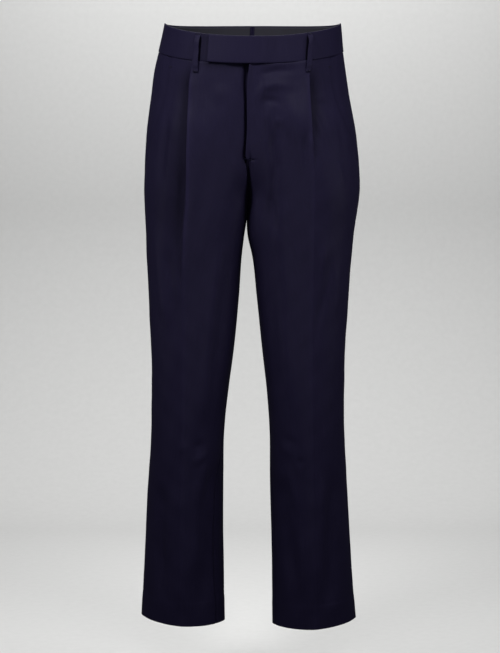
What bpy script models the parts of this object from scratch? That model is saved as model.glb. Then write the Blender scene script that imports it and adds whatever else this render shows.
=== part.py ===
"""Pleated dress trousers in fine worsted cloth, filled out as when worn.

Metres, +Z up. The front faces -Y, and +X is the wearer's left. The origin is the centre of the waist opening, level
with the waistband's top edge at the sides. Every panel is a grid on one form: level sections of the half garment,
each an ellipse that is cut at the centre plane above the crotch and closes into a leg below it.
"""

import math

import bpy
import numpy as np
from mathutils import Vector

# Driving dimensions
WALL = 0.0014  # a panel of worsted
HEM_WALL = 0.0026  # the panel and its turned-up hem
BAND_WALL = 0.0024  # the interlined waistband
LINING_WALL = 0.0010
FACING_WALL = 0.0012
LOOP_WALL = 0.0016
SEAM_GAP = 0.0003  # what lies between two pieces at a seam

BAND_HEIGHT = 0.0505
FRONT_DIP = 0.0354  # how far the top edge falls towards the front
FOOT_DIP = 0.0320  # and how far the waistband's foot does
BACK_RISE = 0.008
HEM = {-1: -1.0505, 1: -1.0560}  # the height of each hem; -1 is the wearer's right leg
HEM_TURN_UP = 0.040
HEM_SLANT = 0.005  # the outer side of each hem is this much higher than the middle

FORK = -0.320  # the crotch point
FORK_TOP = -0.080  # where the section begins to part into two legs
FORK_SLOPE = 0.4  # how fast it still changes at the crotch point
FRONT_CURVE_TOP = -0.212  # where the centre front seam begins to curve under
BACK_CURVE_TOP = -0.130
CURVE_END = -0.314

PLEAT_DEPTH = 0.015  # the cloth folded under at the waistband
PLEAT_LAYER = 0.0019  # from the middle of one layer to the next
PLEAT_SHUT = -0.140  # down to here the pleat is folded flat
PLEAT_OPEN = -0.240  # from here down it is only the crease
PLEAT_BRIDGE = 0.0010  # the straight part between its two bends where it opens
CREASE_TURN = math.radians(15)
CREASE_LAYER = 0.0003
CREASE_WIDTH = 0.042  # of the raised cloth beside a pressed crease
PLEAT_HOLLOW = 0.0035  # how deep the cloth falls back beside the pleat, towards the pocket
HOLLOW_PLACE = 0.013  # and how far from its edge
HOLLOW_WIDTH = 0.010

MOUTH_FOOT = -0.245  # the height of the slant pocket's lower end
FACING_DROP = 0.0019  # how far the facing lies under the mouth's edge

FLY_FOOT = -0.236  # the height of the tack that closes the fly
FLY_LIFT = 0.0011  # the left front lies this far out, and the right front this far in
FLY_LIFT_END = (0.014, 0.045)  # where that fades out, from the centre
SHIELD_DROP = 0.0033
SHIELD = (-0.034, 0.024)  # the fly shield's edges, on the wearer's left and right

TAB = 0.075  # the waistband's tab runs this far past the centre front
TAB_LIFT = 0.0030
BAND_UNDERLAP = 0.012
LINING_DEPTH = 0.0615
LINING_FRONT = 0.042  # the lining's front edge, from the centre front

LOOP_WIDTH = 0.0098
LOOP_REACH = 0.0080  # from the band's middle to the loop's
LOOP_FRONT = 0.0975  # how far the front loops are from the centre plane
LOOP_BEHIND_SEAM = 0.095

# The outer form: height, half width, depth in front and behind, lean to one side, height of the two pressed creases
FORM = (
    (0.060, 0.147, 0.108, 0.106, 0.0020, 0.000, 0.000),
    (0.000, 0.155, 0.112, 0.110, 0.0020, 0.000, 0.000),
    (-0.050, 0.164, 0.116, 0.113, -0.0010, 0.000, 0.000),
    (-0.080, 0.169, 0.118, 0.117, -0.0025, 0.000, 0.000),
    (-0.135, 0.1755, 0.119, 0.124, -0.0020, 0.000, 0.000),
    (-0.187, 0.1835, 0.119, 0.131, -0.0005, 0.001, 0.000),
    (-0.240, 0.1880, 0.117, 0.133, 0.0005, 0.002, 0.001),
    (-0.294, 0.1895, 0.114, 0.128, 0.0010, 0.003, 0.002),
    (-0.374, 0.1825, 0.106, 0.115, -0.0030, 0.004, 0.004),
    (-0.480, 0.1755, 0.096, 0.100, -0.0050, 0.005, 0.006),
    (-0.614, 0.1690, 0.082, 0.084, -0.0060, 0.005, 0.008),
    (-0.720, 0.1700, 0.076, 0.080, -0.0065, 0.005, 0.009),
    (-0.855, 0.1780, 0.072, 0.082, -0.0070, 0.005, 0.010),
    (-0.988, 0.1850, 0.071, 0.083, -0.0060, 0.006, 0.011),
    (-1.070, 0.1905, 0.070, 0.083, -0.0050, 0.006, 0.012),
)

# The inner edge of a leg: height, distance from the centre plane
INNER = (
    (FORK, 0.0009),
    (-0.342, 0.0018),
    (-0.374, 0.0062),
    (-0.400, 0.0094),
    (-0.480, 0.0164),
    (-0.587, 0.0268),
    (-0.640, 0.0335),
    (-0.720, 0.0415),
    (-1.070, 0.0427),
)

# The pleat's fold edge and the front crease: height, distance from the centre plane
PLEAT_LINE = (
    (0.000, 0.1000),
    (-0.050, 0.1010),
    (-0.200, 0.1080),
    (-0.356, 0.1140),
    (-0.614, 0.1140),
    (-1.070, 0.1180),
)

# The inseam below the knee: height, how far forward of the leg's inner side it lies on the right and the left leg
INSEAM = (
    (-0.480, 0.000, 0.000),
    (-0.620, 0.010, 0.005),
    (-0.800, 0.036, 0.018),
    (-1.070, 0.036, 0.018),
)

# The side seam: height, angle from the middle of the front
SIDE_SEAM = (
    (0.000, 84.0),
    (-0.130, 78.0),
    (-0.294, 74.0),
    (-0.480, 80.0),
    (-0.720, 90.0),
    (-1.070, 92.0),
)

# The pocket's mouth: height, distance in front of the side seam. The full hip bows it forwards.
MOUTH = (
    (-0.050, 0.053),
    (-0.110, 0.053),
    (-0.160, 0.046),
    (-0.205, 0.030),
    (MOUTH_FOOT, 0.008),
)

# The edge of the fly: height, distance past the centre front
FLY_EDGE = (
    (-0.050, 0.002),
    (-0.110, 0.007),
    (-0.166, 0.010),
    (FLY_FOOT, 0.008),
)

# A belt loop from top to bottom: height below the band's top edge, distance out from the band's middle
LOOP_PATH = (
    (0.0000, 0.0024),
    (0.0045, 0.0027),
    (0.0085, 0.0062),
    (0.0125, LOOP_REACH),
    (0.0330, LOOP_REACH),
    (0.0540, LOOP_REACH),
    (0.0600, 0.0074),
    (0.0645, 0.0048),
    (0.0715, 0.0042),
)

# The lining from top to bottom: height below the band's top edge, distance in from the band's middle
LINING_PATH = (
    (0.0030, 0.0021),
    (0.0300, 0.0023),
    (0.0475, 0.0036),
    (LINING_DEPTH, 0.0046),
)

NAVY = (0.0105, 0.0093, 0.0215, 1.0)
CHARCOAL = (0.030, 0.029, 0.040, 1.0)


def table(rows, height, column=1):
    """A column of a table at a height, on a smooth curve through its rows."""
    z, values = np.array(sorted((row[0], row[column]) for row in rows)).T
    slopes = np.gradient(values, z)
    height = min(max(height, z[0]), z[-1])
    i = min(int(np.searchsorted(z, height, "right")) - 1, len(z) - 2)
    step = z[i + 1] - z[i]
    t = (height - z[i]) / step
    rise = values[i + 1] - values[i]
    ends = t * (1 - t) * ((1 - t) * (slopes[i] * step - rise) - t * (slopes[i + 1] * step - rise))
    return float(values[i] + rise * t + ends)


def smooth(t):
    t = min(max(t, 0.0), 1.0)
    return t * t * (3 - 2 * t)


def blend(height, top, foot):
    """0 above top, 1 below foot."""
    return smooth((top - height) / (top - foot))


def fork(share):
    """How far the section has parted into legs: 0 is a half ellipse, and 1 is a closed leg."""
    return share * share * (3 - FORK_SLOPE - (2 - FORK_SLOPE) * share)


class Section:
    """The level section of one half of the garment, from the centre front or inseam round the side to the back."""

    def __init__(self, height):
        self.height = height
        outer, self.front, self.back, self.lean, self.crease, self.back_crease = (
            table(FORM, height, column) for column in range(1, 7)
        )
        forked = fork(min(1.0, max(0.0, (FORK_TOP - height) / (FORK_TOP - FORK))))
        if height > FORK:
            inner = INNER[0][1] - outer * (1 - forked) / (1 + forked)
        else:
            inner = table(INNER, height)
        self.radius = (outer - inner) / 2
        self.middle = (outer + inner) / 2
        valleys = [blend(height, top, CURVE_END) for top in (FRONT_CURVE_TOP, BACK_CURVE_TOP)]
        edges = [SEAM_GAP / 2 + WALL / 2 * min(1.0, 1.6 * forked * v) for v in valleys]
        start, end = (-math.asin(min(1.0, (self.middle - e) / self.radius)) for e in edges)
        self.angle = np.linspace(start, math.pi - end, 301)
        cosine, sine = np.cos(self.angle), np.sin(self.angle)
        depth = np.where(cosine > 0, self.front, self.back)
        valley = np.where(sine > 0, 1.0, np.where(cosine > 0, *valleys))
        self.x = self.middle + self.radius * sine
        self.y = -depth * np.sign(cosine) * (1 - valley * (1 - np.abs(cosine)))
        across, back = np.gradient(self.x), np.gradient(self.y)
        steps = np.hypot(across, back)
        self.normal_x, self.normal_y = back / steps, -across / steps
        self.along = np.concatenate([[0], np.cumsum(np.hypot(np.diff(self.x), np.diff(self.y)))])
        self.length = float(self.along[-1])

    def where(self, angle):
        """The distance along the section at an angle from the middle of the front."""
        return float(np.interp(angle, self.angle, self.along))

    def across(self, x):
        """The distance along the front of the section at a distance from the centre plane."""
        return self.where(math.asin((x - self.middle) / self.radius))

    def ridge(self, u):
        """How far the pressed creases stand out; beside the pleat the cloth falls back."""
        beyond = u - self.across(table(PLEAT_LINE, self.height))
        front = 1 - abs(beyond) / CREASE_WIDTH
        back = 1 - abs(u - self.where(math.pi)) / CREASE_WIDTH
        hollow = PLEAT_HOLLOW * math.exp(-(((beyond - HOLLOW_PLACE) / HOLLOW_WIDTH) ** 2))
        hollow *= blend(self.height, -0.056, -0.110) - blend(self.height, -0.300, -0.500)
        creases = self.crease * max(front, 0) ** 1.5 + self.back_crease * max(back, 0) ** 1.5
        return creases - hollow

    def point(self, side, u, out=0.0):
        """The point at a distance along the section and out from it. It runs on past both ends, on the other half
        above the crotch and round the leg below it."""
        if self.height < FORK:
            u %= self.length
        elif u < 0:
            side, u = -side, -u
        elif u > self.length:
            side, u = -side, 2 * self.length - u
        angle, x, y, normal_x, normal_y = (
            float(np.interp(u, self.along, row))
            for row in (self.angle, self.x, self.y, self.normal_x, self.normal_y)
        )
        out += self.ridge(u)
        forward = math.cos(angle)
        dip = FRONT_DIP + (FOOT_DIP - FRONT_DIP) * blend(self.height, 0, -BAND_HEIGHT)
        tilt = -dip * max(forward, 0) ** 1.2 + BACK_RISE * max(-forward, 0) ** 2
        z = self.height + tilt * (1 - blend(self.height, -BAND_HEIGHT, -0.220))
        z += HEM_SLANT * math.sin(angle) * blend(self.height, -0.950, -1.050)
        return Vector((side * (x + normal_x * out) + self.lean, y + normal_y * out, z))


def heights(side):
    """The heights of a panel's rows, close together where the crotch seam turns under."""
    upper = [*np.linspace(-BAND_HEIGHT - SEAM_GAP, -0.165, 7), -0.188, -0.210]
    turning = np.linspace(FORK, -0.190, 201)
    reach = [abs(Section(z).y[0]) / Section(z).front for z in turning]
    crotch = np.interp([0, 0.07, 0.18, 0.3, 0.43, 0.57, 0.7, 0.82, 0.92, 0.98], reach, turning)
    thigh = [-0.328, -0.342, -0.362, -0.390, -0.430]
    leg = np.linspace(-0.485, HEM[side], 11)
    turn_up = HEM[side] + HEM_TURN_UP
    rows = np.concatenate([upper, crotch, thigh, leg, [turn_up, turn_up + 0.002]])
    return sorted((float(z) for z in rows), reverse=True)


def cloth(name, grid, side, wall, material):
    """A wall of cloth round a grid of points, given row by row downwards and away from the centre front."""
    rows, columns = len(grid), len(grid[0])
    faces = []
    for r in range(rows - 1):
        for c in range(columns - 1):
            a, b = r * columns + c, (r + 1) * columns + c
            quad = (a, b, b + 1, a + 1)
            faces.append(quad if side > 0 else quad[::-1])
    mesh = bpy.data.meshes.new(name)
    mesh.from_pydata([p for row in grid for p in row], [], faces)
    mesh.shade_smooth()
    mesh.materials.append(material)
    piece = bpy.data.objects.new(name, mesh)
    garment.objects.link(piece)
    solid = piece.modifiers.new("wall", "SOLIDIFY")
    solid.thickness = wall
    solid.offset = 0
    return piece


def turn_up_hem(piece, grid, side):
    """Doubles the wall where the hem is turned up inside."""
    columns = len(grid[0])
    group = piece.vertex_groups.new(name="wall")
    for r, z in enumerate(heights(side)):
        share = 1.0 if z <= HEM[side] + HEM_TURN_UP + 0.0001 else WALL / HEM_WALL
        group.add(list(range(r * columns, (r + 1) * columns)), share, "REPLACE")
    piece.modifiers["wall"].thickness = HEM_WALL
    piece.modifiers["wall"].vertex_group = "wall"


def pleat(section):
    """The fold's points as (along, out), from the layer on top to the one below, with its edge at along = 0."""
    open_share = blend(section.height, PLEAT_SHUT, PLEAT_OPEN)
    turn = math.pi + (CREASE_TURN - math.pi) * open_share
    layer = PLEAT_LAYER + (CREASE_LAYER - PLEAT_LAYER) * open_share
    folded = min(1.0, max(0.0, (section.height - PLEAT_SHUT) / (-BAND_HEIGHT - PLEAT_SHUT)))
    bridge = PLEAT_BRIDGE + (PLEAT_DEPTH - PLEAT_BRIDGE) * folded
    radius = (layer - bridge / 2 * math.sin(turn)) / (1 - math.cos(turn))
    bend = [
        (radius * math.sin(turn * i / 3), layer - radius * (1 - math.cos(turn * i / 3)))
        for i in range(4)
    ]
    middle = bend[-1][0] + bridge / 2 * math.cos(turn)
    fold = bend + [(2 * middle - u, -out) for u, out in reversed(bend)]
    edge = max(u for u, out in bend)
    return [(u - edge, out) for u, out in fold]


def fly_lift(side, section, u):
    """How far the fronts part where the left one lies over the right one."""
    share = 1 - smooth((abs(u) - FLY_LIFT_END[0]) / (FLY_LIFT_END[1] - FLY_LIFT_END[0]))
    return side * FLY_LIFT * share * (1 - blend(section.height, FLY_FOOT, FLY_FOOT - 0.050))


def mouth(section):
    """How far in front of the side seam the pocket's mouth is, or None below it."""
    return table(MOUTH, section.height) if section.height > MOUTH_FOOT else None


def side_seam(section):
    return section.where(math.radians(table(SIDE_SEAM, section.height)))


def inseam(side, section):
    """The distance along the section at which a front panel begins and, a turn further on, the back panel ends."""
    return table(INSEAM, section.height, 1 if side < 0 else 2) if section.height < FORK else 0.0


def front_row(side, section):
    """A row of a front panel: the centre panel, the pleat or crease, and the part that runs to the pocket or side."""
    first = 0.0 if section.height > FORK else inseam(side, section) + SEAM_GAP / 2
    if side > 0 and section.height > FLY_FOOT:
        first = -table(FLY_EDGE, section.height)
    edge = section.across(table(PLEAT_LINE, section.height))
    last = side_seam(section) - (mouth(section) or SEAM_GAP / 2)
    fold = [(edge + u, out) for u, out in pleat(section)]
    (start, rise), (end, fall) = fold[0], fold[-1]
    centre = [
        (u, rise * smooth(1 - (start - u) / 0.035))
        for u in np.linspace(first, start, 9)[:-1]
    ]
    outer = [
        (u, fall * smooth(1 - (u - end) / 0.028))
        for u in end + (last - end) * np.linspace(0, 1, 9)[1:] ** 1.3
    ]
    return [
        section.point(side, u, out + fly_lift(side, section, u))
        for u, out in centre + fold + outer
    ]


def back_row(side, section):
    first = side_seam(section) + SEAM_GAP / 2
    last = section.length
    if section.height <= FORK:
        last += inseam(side, section) - SEAM_GAP / 2
    return [section.point(side, u) for u in np.linspace(first, last, 15)]


def add_panels(side, name, material):
    sections = [Section(z) for z in heights(side)]
    for panel, row in ("front", front_row), ("back", back_row):
        grid = [row(side, section) for section in sections]
        piece = cloth(f"{panel}_{name}", grid, side, WALL, material)
        turn_up_hem(piece, grid, side)


def add_pocket_facing(side, name, material):
    """The panel that shows between the pocket's mouth and the side seam; it lies under the mouth's edge."""
    grid = []
    for z in (z for z in heights(side) if z > MOUTH_FOOT + 0.010):
        section = Section(min(z, -BAND_HEIGHT - 3 * SEAM_GAP))
        lip = side_seam(section) - mouth(section)
        last = side_seam(section) - SEAM_GAP / 2
        places = [lip - 0.014, lip - 0.004, *np.linspace(lip + 0.004, last, 5)]
        rise = 1 - blend(z, -0.185, -0.215)
        grid.append(
            [
                section.point(side, u, -FACING_DROP * (1 - rise * smooth((u - lip - 0.003) / 0.020)))
                for u in places
            ]
        )
    cloth(f"pocket_facing_{name}", grid, side, FACING_WALL, material)


def add_fly_shield(material):
    """The strip behind the fly, which closes its opening; it is sewn to the right front."""
    grid = []
    for z in (z for z in heights(-1) if z > FLY_FOOT):
        section = Section(z)
        grid.append(
            [section.point(1, u, -SHIELD_DROP) for u in np.linspace(-SHIELD[1], -SHIELD[0], 6)]
        )
    cloth("fly_shield", grid, 1, FACING_WALL, material)


def band_lift(side, u):
    """The left half stands out where it lies over the right one, and at its tab."""
    return TAB_LIFT * (1 - smooth((u - 0.014) / 0.034)) if side > 0 else 0.0


def add_band(side, name, material):
    """Half of the waistband. The left half ends in the tab, and the right half runs on under it."""
    sections = [Section(-BAND_HEIGHT * i / 3) for i in range(4)]
    first = -TAB if side > 0 else -BAND_UNDERLAP
    grid = [
        [
            section.point(side, u, band_lift(side, u))
            for u in np.linspace(first, section.length, 36)
        ]
        for section in sections
    ]
    cloth(f"waistband_{name}", grid, side, BAND_WALL, material)


def add_lining(side, name, material):
    grid = []
    for drop, inward in LINING_PATH:
        section = Section(-drop)
        places = np.linspace(LINING_FRONT, section.length - 0.004, 22)
        grid.append([section.point(side, u, -inward) for u in places])
    cloth(f"waistband_lining_{name}", grid, side, LINING_WALL, material)


def add_loop(name, side, place, material):
    """A belt loop at a place along the section, which a function of the section gives."""
    grid = []
    for drop, out in LOOP_PATH:
        section = Section(-drop)
        u = place(section)
        grid.append([section.point(side, u + k * LOOP_WIDTH / 2, out) for k in (-1, 0, 1)])
    cloth(name, grid, side, LOOP_WALL, material)


def add_loops(material):
    for side, name in (-1, "right"), (1, "left"):
        add_loop(f"belt_loop_front_{name}", side, lambda s: s.across(LOOP_FRONT), material)
        add_loop(
            f"belt_loop_side_{name}", side, lambda s: side_seam(s) + LOOP_BEHIND_SEAM, material
        )
    add_loop("belt_loop_back", 1, lambda s: s.length, material)


def fabric(name, colour, roughness):
    material = bpy.data.materials.new(name)
    material.use_nodes = True
    shader = material.node_tree.nodes["Principled BSDF"]
    shader.inputs["Base Color"].default_value = colour
    shader.inputs["Roughness"].default_value = roughness
    shader.inputs["Metallic"].default_value = 0.0
    return material


for leftover in list(bpy.data.objects):
    bpy.data.objects.remove(leftover)
garment = bpy.data.collections.new("pleated_dress_trousers")
bpy.context.scene.collection.children.link(garment)

worsted = fabric("navy_worsted", NAVY, 0.75)
lining = fabric("charcoal_lining", CHARCOAL, 0.60)
for wearer_side, side_name in (-1, "right"), (1, "left"):
    add_panels(wearer_side, side_name, worsted)
    add_pocket_facing(wearer_side, side_name, worsted)
    add_band(wearer_side, side_name, worsted)
    add_lining(wearer_side, side_name, lining)
add_fly_shield(worsted)
add_loops(worsted)
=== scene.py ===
import math

import bmesh
import bpy
import numpy as np
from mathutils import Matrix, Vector


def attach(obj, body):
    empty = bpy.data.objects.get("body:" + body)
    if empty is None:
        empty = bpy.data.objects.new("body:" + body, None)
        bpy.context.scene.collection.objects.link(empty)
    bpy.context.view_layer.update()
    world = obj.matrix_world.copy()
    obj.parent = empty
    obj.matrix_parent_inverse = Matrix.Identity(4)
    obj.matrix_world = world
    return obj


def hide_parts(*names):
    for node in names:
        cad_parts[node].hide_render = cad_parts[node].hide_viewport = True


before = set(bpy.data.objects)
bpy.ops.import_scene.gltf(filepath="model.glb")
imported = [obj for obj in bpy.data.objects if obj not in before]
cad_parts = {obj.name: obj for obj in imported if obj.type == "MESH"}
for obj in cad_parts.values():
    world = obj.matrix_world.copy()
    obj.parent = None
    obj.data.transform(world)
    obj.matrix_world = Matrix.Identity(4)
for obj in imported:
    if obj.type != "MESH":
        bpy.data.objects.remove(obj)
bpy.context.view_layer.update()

# ---------------------------------------------------------------------------
# Leg panels. Two fronts and two backs of fine navy worsted, sewn together at
# the side seams, inseams and centre seams and turned up at the hems. Each
# front has one reverse pleat, which opens into the leg's pressed crease.
# ---------------------------------------------------------------------------
# The cloth is a smooth close twill with a violet tint and a soft sheen. Its
# weave follows each piece's own UV map, in metres. Pressed edges are glossier and carry a painted highlight;
# hollows and shaded places carry painted shade.
NAVY = (0.0085, 0.0070, 0.0196, 1.0)


def feed(node, inputs):
    """Gives each of a node's inputs a value, a socket to read from, or a node whose first output it reads."""
    for key, value in inputs.items():
        if isinstance(value, bpy.types.Node):
            value = value.outputs[0]
        if isinstance(value, bpy.types.NodeSocket):
            node.id_data.links.new(value, node.inputs[key])
        else:
            node.inputs[key].default_value = value
    return node


def node_makers(tree):
    """Short ways to add a node of any kind to a tree, and a step of arithmetic."""

    def add(kind, inputs=None, **settings):
        node = tree.nodes.new(kind)
        for name, value in settings.items():
            setattr(node, name, value)
        return feed(node, inputs or {})

    def reckon(operation, *terms):
        return add("ShaderNodeMath", dict(enumerate(terms)), operation=operation)

    return add, reckon


def twill_with_painted_light():
    """The twill's tone, height and gloss, which materials share: diagonal ribs, slubs down the cloth,
    cloudy dye, and painted light. Above 0 the painted-light input lightens the colour as a painted highlight
    and lowers the roughness; below 0 it darkens the colour as painted shade and raises the roughness."""
    group = bpy.data.node_groups.new("twill with painted light", "ShaderNodeTree")
    socket = group.interface.new_socket
    socket("UV", in_out="INPUT", socket_type="NodeSocketVector")
    for name, value in (("Press", 0.0), ("Rib", 0.0006), ("Slub", 0.3), ("Roughness", 0.5)):
        socket(name, in_out="INPUT", socket_type="NodeSocketFloat").default_value = value
    socket("Colour", in_out="INPUT", socket_type="NodeSocketColor").default_value = NAVY
    socket("Colour", in_out="OUTPUT", socket_type="NodeSocketColor")
    for name in ("Height", "Roughness"):
        socket(name, in_out="OUTPUT", socket_type="NodeSocketFloat")
    add, reckon = node_makers(group)
    given = add("NodeGroupInput").outputs

    def noise(vector, scale, detail):
        inputs = {"Vector": vector, "Scale": scale, "Detail": detail}
        return add("ShaderNodeTexNoise", inputs, noise_dimensions="2D")

    split = add("ShaderNodeSeparateXYZ", {0: given["UV"]}).outputs
    ribs = reckon("DIVIDE", reckon("ADD", split[0], split[1]), given["Rib"])
    rib = reckon("SINE", reckon("MULTIPLY", ribs, 2 * math.pi))
    long = add("ShaderNodeMapping", {"Vector": given["UV"], "Scale": (650.0, 26.0, 1.0)})
    slub = noise(long, 1.0, 3.0)
    cloud = noise(given["UV"], 14.0, 2.0)

    # tone = 1 + slub share * (slub - 0.5) + 0.16 * (cloud - 0.5) + 0.30 * painted light (a painted highlight
    # above 0, painted shade below 0)
    tone = reckon("MULTIPLY_ADD", reckon("SUBTRACT", slub, 0.5), given["Slub"], 0.92)
    tone = reckon("MULTIPLY_ADD", cloud, 0.16, tone)
    # painted light: the colour is lightened as a painted highlight or darkened as painted shade
    tone = reckon("MULTIPLY_ADD", given["Press"], 0.30, tone)
    colour = add("ShaderNodeVectorMath", {0: given["Colour"], "Scale": tone}, operation="SCALE")
    height = reckon("MULTIPLY_ADD", rib, 0.25, slub)
    gloss = reckon("MULTIPLY_ADD", given["Press"], -0.10, given["Roughness"])
    add("NodeGroupOutput", {"Colour": colour, "Height": height, "Roughness": gloss})
    return group


twill = twill_with_painted_light()


def start_material(name):
    """A material, its shader, and the way to add nodes to it."""
    material = bpy.data.materials.new(name)
    material.use_nodes = True
    add, _ = node_makers(material.node_tree)
    return material, material.node_tree.nodes["Principled BSDF"], add


def cloth_material(name, colour, roughness, sheen, sheen_tint, rib, slub, relief):
    """A twill cloth: rib is its ribs' width in metres, slub its unevenness, relief how raised it is."""
    material, shader, add = start_material(name)
    weave = add(
        "ShaderNodeGroup",
        {
            "UV": add("ShaderNodeUVMap", uv_map="cloth"),
            # the painted highlight and painted shade laid on each mesh
            "Press": add("ShaderNodeAttribute", attribute_name="gloss_and_painted_light").outputs["Fac"],
            "Rib": rib,
            "Slub": slub,
            "Roughness": roughness,
            "Colour": colour,
        },
        node_tree=twill,
    ).outputs
    bump = {"Strength": relief, "Distance": 0.0002, "Height": weave["Height"]}
    feed(
        shader,
        {
            "Base Color": weave["Colour"],
            "Roughness": weave["Roughness"],
            "Normal": add("ShaderNodeBump", bump),
            "Specular IOR Level": 0.03,
            "Sheen Weight": sheen,
            "Sheen Roughness": 0.42,
            "Sheen Tint": sheen_tint,
        },
    )
    return material


worsted = cloth_material(
    "navy worsted",
    colour=NAVY,
    roughness=0.50,
    sheen=0.004,
    sheen_tint=(0.60, 0.55, 0.95, 1.0),
    rib=0.0006,
    slub=0.30,
    relief=0.25,
)

# The form. Every piece lies on level sections of one half of the garment. Each
# is half an ellipse above the crotch, parts there along the curve of the
# crotch seam, and closes into a leg below it.
BAND_HEIGHT = 0.0505
FRONT_DIP = 0.0354  # how far the band's top dips at the centre front
FOOT_DIP = 0.0320  # and its foot
BACK_RISE = 0.008
DIP_END = -0.220  # the height at which both have died away
HEM = {-1: -1.0505, 1: -1.0560}  # -1 is the wearer's right, 1 the left
HEM_SLANT = 0.005
HEM_SLANTS = (-0.950, -1.050)  # the heights between which the slant comes in
FORK = -0.320
FORK_TOP = -0.080  # where the section starts to part into legs
FRONT_CURVE_TOP = -0.212
BACK_CURVE_TOP = -0.130
CURVE_END = -0.314
HALF_SLIT = 0.00005  # half the slit between the two halves at the centre seams
FORK_SLIT = 0.0002  # what the fork adds to it
SECTION_POINTS = 601
CREASE_WIDTH = 0.042

# height, half width, depth in front and behind, lean to one side, height of the two pressed creases
FORM = (
    (0.060, 0.147, 0.108, 0.106, 0.0020, 0.000, 0.000),
    (0.000, 0.155, 0.112, 0.110, 0.0020, 0.000, 0.000),
    (-0.050, 0.1625, 0.116, 0.113, -0.0010, 0.000, 0.000),
    (-0.080, 0.168, 0.118, 0.117, -0.0025, 0.000, 0.000),
    (-0.135, 0.1755, 0.119, 0.124, -0.0020, 0.000, 0.000),
    (-0.187, 0.1835, 0.119, 0.131, -0.0005, 0.001, 0.000),
    (-0.240, 0.1880, 0.117, 0.133, 0.0005, 0.002, 0.001),
    (-0.294, 0.1895, 0.114, 0.128, 0.0010, 0.001, 0.002),
    (-0.374, 0.1825, 0.107, 0.115, -0.0030, 0.0014, 0.004),
    (-0.480, 0.1755, 0.098, 0.100, -0.0050, 0.0014, 0.006),
    (-0.614, 0.1690, 0.0925, 0.084, -0.0060, 0.0015, 0.008),
    (-0.720, 0.1700, 0.0870, 0.080, -0.0065, 0.0020, 0.009),
    (-0.855, 0.1780, 0.0780, 0.082, -0.0070, 0.002, 0.010),
    (-0.988, 0.1850, 0.0715, 0.083, -0.0060, 0.002, 0.011),
    (-1.070, 0.1905, 0.0680, 0.083, -0.0050, 0.003, 0.012),
)

# height, distance of a leg's inner edge from the centre plane
INNER = (
    (FORK, 0.0003),
    (-0.350, 0.0006),
    (-0.374, 0.0032),
    (-0.410, 0.0094),
    (-0.480, 0.0158),
    (-0.587, 0.0266),
    (-0.640, 0.0333),
    (-0.720, 0.0405),
    (-0.800, 0.0415),
    (-0.900, 0.0427),
    (-1.070, 0.0427),
)

# height, powers that square the section (below 1) or point it (above 1) on its outer and its inner side
SQUARE = (
    (-0.050, 1.00, 1.00),
    (-0.180, 0.95, 0.80),
    (-0.250, 0.88, 0.30),
    (-0.330, 0.72, 0.30),
    (-0.420, 0.58, 0.45),
    (-0.600, 0.54, 0.72),
    (-0.720, 0.78, 0.94),
    (-0.850, 1.40, 1.40),
    (-1.070, 1.50, 1.50),
)

# height, depth and half width of the groove between the thighs in front
GROOVE = (
    (-0.236, 0.000, 0.0022),
    (-0.262, 0.012, 0.0026),
    (-0.335, 0.016, 0.0056),
    (-0.372, 0.000, 0.0056),
)

# height, how far the insides of both thighs sway to one side
SWAY = (
    (-0.190, 0.0000),
    (-0.246, -0.0045),
    (-0.320, -0.0055),
    (-0.374, -0.0068),
    (-0.410, -0.0040),
    (-0.480, -0.0015),
    (-0.640, -0.0006),
    (-0.720, -0.0016),
    (-0.820, -0.0014),
    (-0.950, 0.0000),
)

# height, distance of the pleat's edge and the front crease from the centre plane, right and left
PLEAT_LINE = (
    (0.000, 0.1000, 0.1000),
    (-0.050, 0.1005, 0.1003),
    (-0.190, 0.1075, 0.1018),
    (-0.260, 0.1105, 0.1060),
    (-0.356, 0.1138, 0.1095),
    (-0.614, 0.1140, 0.1115),
    (-1.070, 0.1180, 0.1180),
)

# height, angle of the side seam from the middle of the front
SIDE_SEAM = (
    (0.000, 84.0),
    (-0.130, 78.0),
    (-0.294, 74.0),
    (-0.480, 80.0),
    (-0.720, 90.0),
    (-1.070, 92.0),
)

# height, how far forward of the leg's inner side the inseam lies, right and left
INSEAM = (
    (-0.480, 0.000, 0.000),
    (-0.620, 0.010, 0.005),
    (-0.800, 0.036, 0.018),
    (-1.070, 0.036, 0.018),
)


def table(rows, height, column=1):
    """A column of a table at a height, on a smooth curve through its rows."""
    z, values = np.array(sorted((row[0], row[column]) for row in rows)).T
    slopes = np.gradient(values, z)
    height = min(max(height, z[0]), z[-1])
    i = min(int(np.searchsorted(z, height, "right")) - 1, len(z) - 2)
    step = z[i + 1] - z[i]
    t = (height - z[i]) / step
    rise = values[i + 1] - values[i]
    ends = t * (1 - t) * ((1 - t) * (slopes[i] * step - rise) - t * (slopes[i + 1] * step - rise))
    return float(values[i] + rise * t + ends)


def smooth(t):
    t = np.clip(t, 0.0, 1.0)
    return t * t * (3 - 2 * t)


def blend(height, top, foot):
    """0 above top, 1 below foot."""
    return float(smooth((top - height) / (top - foot)))


def bell(distance, width):
    """1 at no distance, dying away over a width."""
    return np.exp(-((distance / width) ** 2))


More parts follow.
